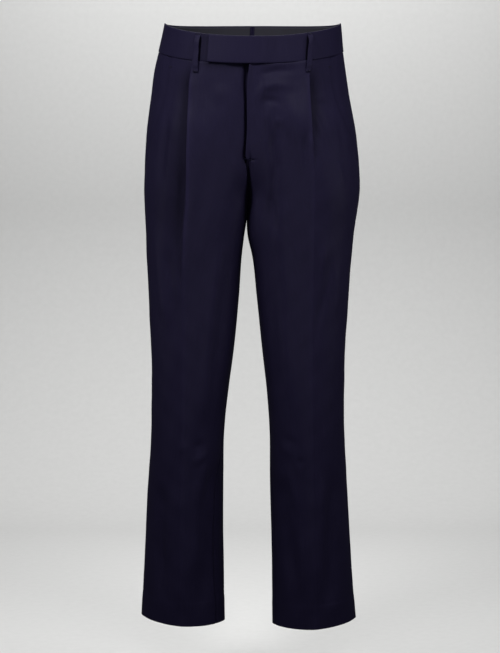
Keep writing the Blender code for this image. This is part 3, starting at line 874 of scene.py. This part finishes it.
def stitching():
    """A tree that sews stitches along a line of points, whose attribute out is the way out of the cloth."""
    tree = bpy.data.node_groups.new("stitching", "GeometryNodeTree")
    socket = tree.interface.new_socket
    socket("Geometry", in_out="INPUT", socket_type="NodeSocketGeometry")
    for name, value in (("Spacing", 0.003), ("Length", 0.0022), ("Thread", 0.0003), ("Turn", 0.0)):
        socket(name, in_out="INPUT", socket_type="NodeSocketFloat").default_value = value
    socket("Material", in_out="INPUT", socket_type="NodeSocketMaterial")
    socket("Geometry", in_out="OUTPUT", socket_type="NodeSocketGeometry")
    add, reckon = node_makers(tree)
    given = add("NodeGroupInput").outputs

    # one stitch: a short thread, thinner and lower at its ends
    start = add("ShaderNodeCombineXYZ", {0: reckon("MULTIPLY", given["Length"], -0.5)})
    end = add("ShaderNodeCombineXYZ", {0: reckon("MULTIPLY", given["Length"], 0.5)})
    line = add("GeometryNodeCurvePrimitiveLine", {"Start": start, "End": end})
    bends = add("GeometryNodeResampleCurve", {"Curve": line, "Count": 6})
    share = add("GeometryNodeSplineParameter").outputs["Factor"]
    place = add("ShaderNodeMapRange", {0: share, 3: -1.0, 4: 1.0})
    crown = reckon("SUBTRACT", 1.0, reckon("POWER", place, 2.0))
    radius = reckon("MULTIPLY", given["Thread"], 0.5)
    lift = add("ShaderNodeCombineXYZ", {2: reckon("MULTIPLY", crown, radius)})
    raised = add("GeometryNodeSetPosition", {"Geometry": bends, "Offset": lift})
    taper = reckon("MULTIPLY_ADD", crown, 0.5, 0.5)
    tapered = add("GeometryNodeSetCurveRadius", {"Curve": raised, "Radius": taper})
    ring = add("GeometryNodeCurvePrimitiveCircle", {"Resolution": 6, "Radius": radius})
    stitch = add("GeometryNodeCurveToMesh", {"Curve": tapered, "Profile Curve": ring, "Fill Caps": True})

    # a stitch at each step along the line, turned to lie on the cloth
    path = add("GeometryNodeMeshToCurve", {"Mesh": given["Geometry"]})
    places = add("GeometryNodeResampleCurve", {"Curve": path, "Length": given["Spacing"]}, mode="LENGTH")
    outwards = add("GeometryNodeInputNamedAttribute", {"Name": "out"}, data_type="FLOAT_VECTOR")
    align = "FunctionNodeAlignRotationToVector"
    stand = add(align, {"Vector": outwards.outputs["Attribute"]}, axis="Z")
    tangent = add("GeometryNodeInputTangent")
    follow = add(align, {"Rotation": stand, "Vector": tangent}, axis="X", pivot_axis="Z")
    angle = add("FunctionNodeEulerToRotation", {0: add("ShaderNodeCombineXYZ", {2: given["Turn"]})})
    turn = {"Rotation": follow, "Rotate By": angle}
    turned = add("FunctionNodeRotateRotation", turn, rotation_space="LOCAL")
    row = add("GeometryNodeInstanceOnPoints", {"Points": places, "Instance": stitch, "Rotation": turned})
    real = add("GeometryNodeRealizeInstances", {0: row})
    soft = add("GeometryNodeSetShadeSmooth", {0: real})
    dyed = add("GeometryNodeSetMaterial", {"Geometry": soft, "Material": given["Material"]})
    add("NodeGroupOutput", {0: dyed})
    return tree


stitch_tree = stitching()


def two_tones(add, share, dark, light):
    """A colour between a dark one and a light one."""
    tones = add("ShaderNodeValToRGB", {0: share})
    for stop, colour in zip(tones.color_ramp.elements, (dark, light)):
        stop.color = colour
    return tones


def thread_material():
    """Navy polyester thread, two plies twisted, a little glossier than the cloth."""
    material, shader, add = start_material("navy thread")
    twist = {"Vector": add("ShaderNodeTexCoord").outputs["Object"], "Scale": 900.0, "Distortion": 1.0}
    plies = add("ShaderNodeTexWave", twist, bands_direction="DIAGONAL").outputs["Fac"]
    colour = two_tones(add, plies, (0.0050, 0.0043, 0.0105, 1.0), (0.0110, 0.0095, 0.0220, 1.0))
    bump = add("ShaderNodeBump", {"Strength": 0.3, "Distance": 0.0001, "Height": plies})
    feed(shader, {"Base Color": colour, "Normal": bump})
    feed(shader, {"Roughness": 0.45, "Specular IOR Level": 0.08})
    return material


navy_thread = thread_material()


def sew(name, lines, spacing, length, thread, turn=0.0):
    """Sews along lines, which are lists of (point, way out), and makes the stitches one mesh."""
    points = [point for line in lines for point, _ in line]
    edges, start = [], 0
    for line in lines:
        edges += [(start + i, start + i + 1) for i in range(len(line) - 1)]
        start += len(line)
    mesh = bpy.data.meshes.new(name)
    mesh.from_pydata(points, edges, [])
    outwards = mesh.attributes.new("out", "FLOAT_VECTOR", "POINT")
    outwards.data.foreach_set("vector", np.ravel([way for line in lines for _, way in line]))
    guide = add_object(name + "_line", mesh)
    sewing = guide.modifiers.new("sewing", "NODES")
    sewing.node_group = stitch_tree
    sizes = {"Spacing": spacing, "Length": length, "Thread": thread, "Turn": turn}
    inputs = {s.name: s.identifier for s in stitch_tree.interface.items_tree if s.in_out == "INPUT"}
    for key, value in {**sizes, "Material": navy_thread}.items():
        sewing[inputs[key]] = value
    graph = bpy.context.evaluated_depsgraph_get()
    made = bpy.data.meshes.new_from_object(guide.evaluated_get(graph))
    made.name = name
    bpy.data.objects.remove(guide)
    piece = add_object(name, made)
    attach(piece, "root")


def on_cloth(side, height, u, out, drape=hang):
    """A place on the cloth's face, with the way out of the cloth there."""
    section = Section(height)
    near = section.points(side, np.array([u]), np.array([out]), drape)[0]
    far = section.points(side, np.array([u]), np.array([out + 0.001]), drape)[0]
    return tuple(near), tuple((far - near) / 0.001)


FACE = CLOTH / 2
THREAD = 0.00026
TACK_SPACING = 0.00042
CROSSWISE = math.pi / 2
# the line of stitches runs straight down, then curves in to the foot of the fly
LINE_IN = 0.002
LINE_OUT = 0.0215
LINE_TURN = -0.186
LINE_CURVE = 0.038
fly_line = []
for height in np.linspace(-BAND_HEIGHT - 0.002, LINE_TURN - LINE_CURVE, 60):
    turn_in = max(0.0, (LINE_TURN - height) / LINE_CURVE)
    u = LINE_OUT * math.sqrt(max(0.0, 1 - turn_in**2)) + LINE_IN
    lift = float(fly_lift(1, Section(height), np.array([u]))[0])
    fly_line.append(on_cloth(1, height, u, FACE + lift + 0.00002))
sew("fly_stitches", [fly_line], spacing=0.0027, length=0.0019, thread=THREAD)
TACK_HEIGHT = FLY_FOOT + 0.0035
TACK_SLOPE = 0.0008
TACK_SPAN = (-0.0035, 0.0120)
TACK_LIFT = 0.0012
tack = [
    on_cloth(1, TACK_HEIGHT - TACK_SLOPE * k, u, FACE + TACK_LIFT)
    for k, u in enumerate(np.linspace(*TACK_SPAN, 9))
]
sew("fly_tack", [tack], TACK_SPACING, length=0.0024, thread=0.00045, turn=CROSSWISE)

# ---------------------------------------------------------------------------
# Slant pockets. Behind each mouth lies a facing of the same worsted, which
# comes up to the side seam. The mouth's edge is prick-stitched, and tacked
# at its top and foot.
# ---------------------------------------------------------------------------
FACING_DROP = 0.0019  # how far behind the front's cloth the facing lies
FACING_UNDER = 0.014  # how far it runs in under the front
FACING_FLAT = 0.003
FACING_SLOPE = 0.020
FACING_FOOT = MOUTH_FOOT + 0.004
PRICK_IN = 0.0045  # how far the stitches are from the mouth's edge
TACK_OUT = 0.0025  # how far the tacks run past it
MOUTH_TACKS = (-0.068, MOUTH_FOOT + 0.005)


def lip(section):
    """The distance along the section to the edge of the pocket's mouth."""
    return side_seam(section) - mouth(section)


for side, side_name in SIDE_NAMES.items():
    points, uv = [], []
    for section in (s for s in sections[side] if s.height > FACING_FOOT):
        last = side_seam(section)
        u = np.linspace(lip(section) - FACING_UNDER, last - EDGE_STEPS[-1], 34)
        u = np.concatenate([u, edge_out(last)])
        out = -FACING_DROP * (1 - smooth((u - lip(section) - FACING_FLAT) / FACING_SLOPE))
        out = out + seam_dip(last - u) + seam_dip(-BAND_HEIGHT - section.height)
        points.append(section.points(side, u, out, hang))
        uv.append(on_pattern(u, section.height))
    piece = cloth_piece(f"facing_{side_name}", points, uv, side)
    wall(piece, CLOTH)
    dress(piece, f"pocket_facing_{side_name}", worsted)
    edge = [
        on_cloth(side, height, lip(Section(height)) - PRICK_IN, FACE)
        for height in np.linspace(-BAND_HEIGHT - 0.004, FACING_FOOT, 50)
    ]
    sew(f"pocket_stitches_{side_name}", [edge], spacing=0.0060, length=0.0010, thread=THREAD)
    tacks = []
    for height in MOUTH_TACKS:
        end = lip(Section(height))
        places = np.linspace(end - PRICK_IN, end + TACK_OUT, 5)
        tacks.append([on_cloth(side, height, u, FACE + 0.0001) for u in places])
    name = f"pocket_tacks_{side_name}"
    sew(name, tacks, TACK_SPACING, length=0.0018, thread=0.00040, turn=CROSSWISE)

# ---------------------------------------------------------------------------
# Waistband. Two interlined halves of worsted, folded over at the top and sewn
# to the panels along the foot. The left half runs on past the centre front as
# a long plain tab, which stands off the right half and the fly.
# ---------------------------------------------------------------------------
BAND_FACE = 0.0012  # half the band's thickness
BAND_UNDERLAP = 0.012
BAND_LENGTH = {-1: 0.440, 1: 0.500}
LOOP_FRONT = {-1: 0.0920, 1: 0.0975}  # the front loops' distances from the centre plane
# the painted shadow beside the front loops, and beside the tab's end
LOOP_PAINTED_SHADOW = 2.3
TAB_END_PAINTED_SHADOW = 0.8


def ring_mesh(name, rings, uv, gloss_and_painted_light=None):
    """A closed mesh from rings of points, one after another along the piece, with both ends shut."""
    rings = np.array(rings)
    count, around = rings.shape[:2]
    index = np.arange(count * around).reshape(count, around)
    turned = np.roll(index, -1, axis=1)
    quads = np.stack([index[:-1], index[1:], turned[1:], turned[:-1]], axis=-1).reshape(-1, 4)
    ends = [index[0].tolist(), index[-1][::-1].tolist()]
    mesh = bpy.data.meshes.new(name)
    mesh.from_pydata(rings.reshape(-1, 3).tolist(), [], quads.tolist() + ends)
    shell = bmesh.new()
    shell.from_mesh(mesh)
    bmesh.ops.recalc_face_normals(shell, faces=shell.faces)
    shell.to_mesh(mesh)
    shell.free()
    finish_mesh(mesh, uv, gloss_and_painted_light)
    return add_object(name, mesh)


def band_profile():
    """The band's cross-section as (drop, out): up the outer face, over the fold and down the inner face."""
    h = BAND_FACE
    face = np.linspace(BAND_HEIGHT - h, h, 15)
    turn = np.linspace(0, math.pi, 7)[1:-1]
    top = [(h - h * math.sin(a), h * math.cos(a)) for a in turn]
    foot = [(BAND_HEIGHT - h + h * math.sin(a), -h * math.cos(a)) for a in turn]
    return [(d, h) for d in face] + top + [(d, -h) for d in face[::-1]] + foot


def band_painted_shadow(side, u, loop, drop):
    """Painted shadow on the band's face, below 0: beside and under the front loop, and from there to the
    tab's end.
    """
    past = u - loop
    under = smooth((past + 0.0068) / 0.0016) * (1 - smooth((past - 0.002) / 0.004))
    gloss_and_painted_light = -LOOP_PAINTED_SHADOW * under * smooth((drop - 0.004) / 0.006)
    if side < 0:
        # a painted shadow cast by the tab's end on the right half
        beside = smooth((u - TAB + 0.002) / 0.002) * (1 - smooth((past + 0.009) / 0.004))
        gloss_and_painted_light = gloss_and_painted_light - TAB_END_PAINTED_SHADOW * beside
    return gloss_and_painted_light


for side, side_name in SIDE_NAMES.items():
    first = -TAB if side > 0 else -BAND_UNDERLAP
    rings, uv, gloss_and_painted_light = [], [], []
    for drop, out in band_profile():
        section = Section(-drop)
        u = edged(first, section.length, 320)
        ends = np.minimum(u - first, section.length - u) / BAND_FACE
        rounded = np.sqrt(np.clip(1 - (1 - np.minimum(ends, 1)) ** 2, 0.02, 1))
        dip = 0.6 * seam_dip(section.length - u)
        rings.append(section.points(side, u, out * rounded + band_lift(side, u) + dip))
        uv.append(on_pattern(u, -drop if out > 0 else drop))
        # painted shadow beside and under the front loop, and beside the tab's end
        gloss_and_painted_light.append(band_painted_shadow(side, u, section.across(LOOP_FRONT[side]), drop))
    # the mesh's rings run round the band, one at each distance along it
    rings, uv = (np.array(row).transpose(1, 0, 2) for row in (rings, uv))
    piece = ring_mesh(f"band_{side_name}", rings, uv, np.array(gloss_and_painted_light).T)
    flat = (BAND_LENGTH[side], 0.047)
    dress(piece, f"waistband_{side_name}", worsted)

# ---------------------------------------------------------------------------
# Waistband lining. Inside the band hangs a curtain of charcoal cotton twill in
# two halves, stitched under the band's top fold and loose at its foot. It
# stops short of the centre back seam and of the closure in front.
# ---------------------------------------------------------------------------
CHARCOAL = (0.0205, 0.0200, 0.0260, 1.0)
LINING_WALL = 0.0008
LINING_DEPTH = 0.0615
LINING_FRONT = 0.042  # how far it stops short of the centre front
LINING_BACK = 0.004  # and of the centre back
LINING_RIPPLE = 0.0007
# distance down from the waist, and in from the middle of the band
LINING_PATH = ((0.0026, 0.0018), (0.0300, 0.0023), (0.0475, 0.0036), (LINING_DEPTH, 0.0046))
STITCH_DROP = 0.0052  # how far down its stitches lie
STITCH_IN = 0.001  # how far in from its ends they start and stop
LINING_LEVEL = 0.005  # how far down its length is measured
lining_cloth = cloth_material(
    "charcoal lining",
    colour=CHARCOAL,
    roughness=0.62,
    sheen=0.08,
    sheen_tint=(0.80, 0.80, 0.90, 1.0),
    rib=0.0011,
    slub=0.22,
    relief=0.35,
)
for side, side_name in SIDE_NAMES.items():
    points, uv = [], []
    for drop in np.linspace(LINING_PATH[0][0], LINING_DEPTH, 24):
        section = Section(-drop)
        u = np.linspace(LINING_FRONT, section.length - LINING_BACK, 180)
        loose = (drop / LINING_DEPTH) ** 3
        ripple = LINING_RIPPLE * loose * (1 + np.sin(u * 160 + side) * np.sin(u * 57))
        points.append(section.points(side, u, -table(LINING_PATH, drop) - ripple))
        uv.append(on_pattern(u, -drop))
    piece = cloth_piece(f"lining_{side_name}", points, uv, side)
    wall(piece, LINING_WALL)
    node, flat, held = f"waistband_lining_{side_name}", (0.400, 0.056), [f"band_{side_name}"]
    dress(piece, node, lining_cloth)
    face = -LINING_PATH[0][1] - LINING_WALL / 2
    last = Section(-LINING_LEVEL).length - LINING_BACK - STITCH_IN
    places = np.linspace(LINING_FRONT + STITCH_IN, last, 150)
    seam = [on_cloth(side, -STITCH_DROP, u, face, None) for u in places]
    sew(f"lining_stitches_{side_name}", [seam], spacing=0.0028, length=0.0020, thread=THREAD)

# ---------------------------------------------------------------------------
# Belt loops. Five strips of folded worsted stand off the band, in front over
# the pleats, behind the side seams and at the centre back. Each is tacked at
# the band's top edge and just below its foot.
# ---------------------------------------------------------------------------
LOOP_WIDTH = 0.0098
LOOP_THICK = 0.0016
LOOP_REACH = 0.0066
LOOP_BEHIND_SEAM = 0.095
# distance down from the waist, and out from the middle of the band
LOOP_PATH = (
    (0.0000, 0.0024),
    (0.0045, 0.0027),
    (0.0085, 0.0052),
    (0.0125, LOOP_REACH),
    (0.0330, LOOP_REACH),
    (0.0540, LOOP_REACH),
    (0.0600, 0.0062),
    (0.0645, 0.0048),
    (0.0715, 0.0042),
)
LOOP_TACKS = (0.0028, 0.0695)
LOOP_TACK_WIDTH = 0.0084
LOOP_PATTERN = 0.0034  # the radius at which the weave is laid round the loop
LOOPS = (
    ("front_right", -1, lambda s: s.across(LOOP_FRONT[-1])),
    ("front_left", 1, lambda s: s.across(LOOP_FRONT[1])),
    ("side_right", -1, lambda s: side_seam(s) + LOOP_BEHIND_SEAM),
    ("side_left", 1, lambda s: side_seam(s) + LOOP_BEHIND_SEAM),
    ("back", 1, lambda s: s.length),
)


def loop_frame(side, place, drop):
    """A point on the loop's middle line, with the ways across it and out of it."""
    ends = []
    for d in drop - 0.0004, drop + 0.0004:
        section = Section(-d)
        u = place(section)
        across = np.array([u - 0.001, u, u + 0.001])
        ends.append(section.points(side, across, table(LOOP_PATH, max(0.0, d))))
    middle = (ends[0] + ends[1]) / 2
    across = middle[2] - middle[0]
    out = np.cross(ends[1][1] - ends[0][1], across) * side
    return middle[1], across / np.linalg.norm(across), out / np.linalg.norm(out)


# a flat oval section, with its corners rounded
turn = np.linspace(0, 2 * math.pi, 20, endpoint=False)
wide = LOOP_WIDTH / 2 * np.sign(np.cos(turn)) * np.abs(np.cos(turn)) ** 0.35
thick = LOOP_THICK / 2 * np.sign(np.sin(turn)) * np.abs(np.sin(turn)) ** 0.7
for loop_name, side, place in LOOPS:
    rings, uv = [], []
    drops = np.linspace(LOOP_PATH[0][0], LOOP_PATH[-1][0], 56)
    for k, drop in enumerate(drops):
        middle, across, out = loop_frame(side, place, drop)
        end = min(k, len(drops) - 1 - k) / 2
        slim = math.sqrt(1 - (1 - min(end, 1.0)) ** 2 * 0.9)
        flare = 1 + 0.03 * math.sin(drop * 230 + side)
        rings.append(middle + np.outer(wide * flare, across) + np.outer(thick * slim, out))
        uv.append(on_pattern(turn * LOOP_PATTERN, -drop))
    piece = ring_mesh(f"loop_{loop_name}", rings, uv)
    held = "band_left" if side > 0 else "band_right"
    dress(piece, f"belt_loop_{loop_name}", worsted)
    tacks = []
    for drop in LOOP_TACKS:
        middle, across, out = loop_frame(side, place, drop)
        face = middle + out * LOOP_THICK / 2
        places = np.linspace(-LOOP_TACK_WIDTH / 2, LOOP_TACK_WIDTH / 2, 6)
        tacks.append([(tuple(face + across * w), tuple(out)) for w in places])
    name = f"loop_tacks_{loop_name}"
    sew(name, tacks, TACK_SPACING, length=0.0014, thread=0.00036, turn=CROSSWISE)

# ---------------------------------------------------------------------------
# Studio. A pale sweep of paper runs under the trousers and up behind them.
# Large soft lamps light them from the front and above, so that the folds'
# upper slopes catch the light.
# ---------------------------------------------------------------------------
FLOOR = -1.200
SWEEP_WIDTH = 10.0
SWEEP_FRONT = -3.4
SWEEP_BACK = 1.6
SWEEP_RISE = 0.9
SWEEP_TOP = 3.0
profile = [(SWEEP_FRONT, FLOOR), (SWEEP_BACK, FLOOR)]
for a in np.linspace(0, math.pi / 2, 24)[1:]:
    profile.append(
        (SWEEP_BACK + SWEEP_RISE * math.sin(a), FLOOR + SWEEP_RISE * (1 - math.cos(a)))
    )
profile.append((SWEEP_BACK + SWEEP_RISE, SWEEP_TOP))
corners = [(x, y, z) for y, z in profile for x in (-SWEEP_WIDTH / 2, SWEEP_WIDTH / 2)]
faces = [(2 * i, 2 * i + 1, 2 * i + 3, 2 * i + 2) for i in range(len(profile) - 1)]
sweep_mesh = bpy.data.meshes.new("paper_sweep")
sweep_mesh.from_pydata(corners, [], faces)
sweep_mesh.shade_smooth()
sweep = add_object("paper_sweep", sweep_mesh)
paper, shader, add = start_material("pale paper")
place = add("ShaderNodeTexCoord").outputs["Object"]
fibre = add("ShaderNodeTexNoise", {"Vector": place, "Scale": 60.0, "Detail": 4.0})
colour = two_tones(add, fibre, (0.70, 0.70, 0.69, 1.0), (0.76, 0.76, 0.75, 1.0))
feed(shader, {"Base Color": colour, "Roughness": 0.9})
sweep.data.materials.append(paper)
sweep.visible_diffuse = False
sweep.visible_glossy = False

# place, the point it is aimed at, width, power in watts
LAMPS = {
    "left_key": ((-0.62, -0.80, 0.75), (0, 0, -0.28), 0.4, 17.6),
    "right_key": ((0.62, -0.80, 0.75), (0, 0, -0.28), 0.4, 12.6),
    "low_lamp": ((0.0, -1.10, -0.52), (0, 0, -0.52), 0.5, 3.1),
    "left_lamp": ((-1.30, -0.50, -0.32), (0, 0, -0.40), 0.5, 4.4),
    "right_lamp": ((1.30, -0.50, -0.28), (0, 0, -0.36), 0.5, 5.4),
    "back_lamp": ((0.0, 1.1, 1.7), (0, 1.6, -1.0), 1.6, 56),
}
for name, (place, aim, width, power) in LAMPS.items():
    light = bpy.data.lights.new(name, "AREA")
    light.shape = "DISK"
    light.size = width
    light.energy = power
    lamp = add_object(name, light)
    lamp.location = place
    lamp.rotation_euler = (Vector(aim) - Vector(place)).to_track_quat("-Z", "Y").to_euler()
    lamp.visible_camera = False
world = bpy.data.worlds.new("studio air")
world.use_nodes = True
air = {"Color": (0.95, 0.97, 1.0, 1.0), "Strength": 0.05}
feed(world.node_tree.nodes["Background"], air)
bpy.context.scene.world = world
bpy.context.scene.view_settings.view_transform = "Standard"

CAMERA_FAR = 2.9
CAMERA_SIDE = -0.0026
CAMERA_LEVEL = -0.350
VIEW_MIDDLE = -0.537
VIEW_HEIGHT = 1.156
SENSOR = 24.0
camera_data = bpy.data.cameras.new("camera")
camera_data.sensor_fit = "VERTICAL"
camera_data.sensor_height = SENSOR
camera_data.lens = SENSOR * CAMERA_FAR / VIEW_HEIGHT
camera_data.shift_y = (VIEW_MIDDLE - CAMERA_LEVEL) / VIEW_HEIGHT
camera = add_object("camera", camera_data)
camera.location = (CAMERA_SIDE, -CAMERA_FAR, CAMERA_LEVEL)
camera.rotation_euler = (math.pi / 2, 0, 0)
bpy.context.scene.camera = camera
